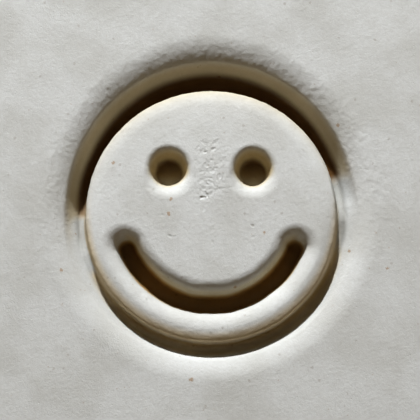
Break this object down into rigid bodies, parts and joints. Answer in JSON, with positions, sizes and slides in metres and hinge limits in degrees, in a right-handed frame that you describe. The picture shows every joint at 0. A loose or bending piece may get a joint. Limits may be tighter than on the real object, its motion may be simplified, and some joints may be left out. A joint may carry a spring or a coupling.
{
  "type": "clay stamp",
  "caption": "Square fired-clay hand stamp with a sunken smiling face in a ring, banded to a beech mount on a turned handle that screws off.",
  "frame": {"origin": "centre of the handle's flat end, which the stamp stands on", "axes": "+Z out of the working face, +Y to the top of the motif, +X to the motif's right"},
  "size_m": [0.0676, 0.0676, 0.0925],
  "materials": {
    "beech": "oiled, satin",
    "brass": "lightly worn",
    "steel": "bright, turned",
    "cork": "pressed granules, matt",
    "fired_clay": "unglazed, matt"
  },
  "bodies": {
    "handle": {"handle": "beech", "ferrule": "brass", "stud": "steel"},
    "washer": {"washer": "steel"},
    "head": {"mount": "beech", "threaded_insert": "brass", "index_tack": "brass", "cork_pad": "cork", "die_block": "fired_clay", "retaining_band": "brass", "band_nails": "brass"}
  },
  "joints": [
    {"name": "head_turn", "type": "hinge", "parent": "handle", "child": "washer", "pos_m": [0, 0, 0.06], "axis": [0, 0, 1], "range_deg": [0, 3600]},
    {"name": "head_lift", "type": "slide", "parent": "washer", "child": "head", "axis": [0, 0, 1], "range_m": [0, 0.0125]}
  ],
  "couplings": [
    {"joint": "head_lift", "follows": "head_turn", "m_per_rad": 0.00019894}
  ]
}
